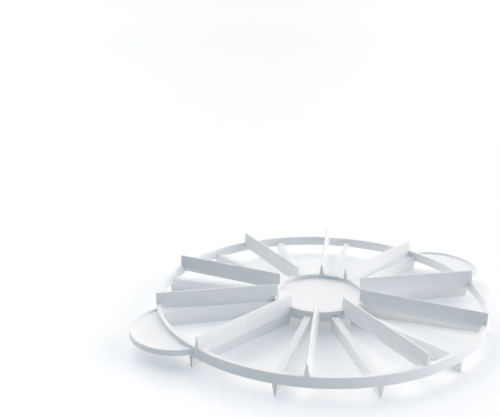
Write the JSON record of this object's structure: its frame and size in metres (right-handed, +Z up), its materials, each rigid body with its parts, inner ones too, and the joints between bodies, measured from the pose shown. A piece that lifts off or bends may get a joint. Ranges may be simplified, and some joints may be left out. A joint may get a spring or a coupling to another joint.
{
  "type": "cake portion marker",
  "caption": "Flat ring with a closed hub, wedge-shaped radial blades on both faces and a rimmed handle at each side, pressed on a cake to mark equal slices.",
  "frame": {"origin": "on the surface that the lower blade tips stand on, under the middle of the ring", "axes": "+X along the line through both handles, +Z up out of the face with fewer blades"},
  "size_m": [0.3252, 0.27, 0.0268],
  "materials": {
    "white_plastic": "smooth injection-moulded white plastic, semi-gloss, slightly milky at thin edges"
  },
  "bodies": {
    "root": {"portion_marker": "white_plastic"}
  },
  "joints": []
}
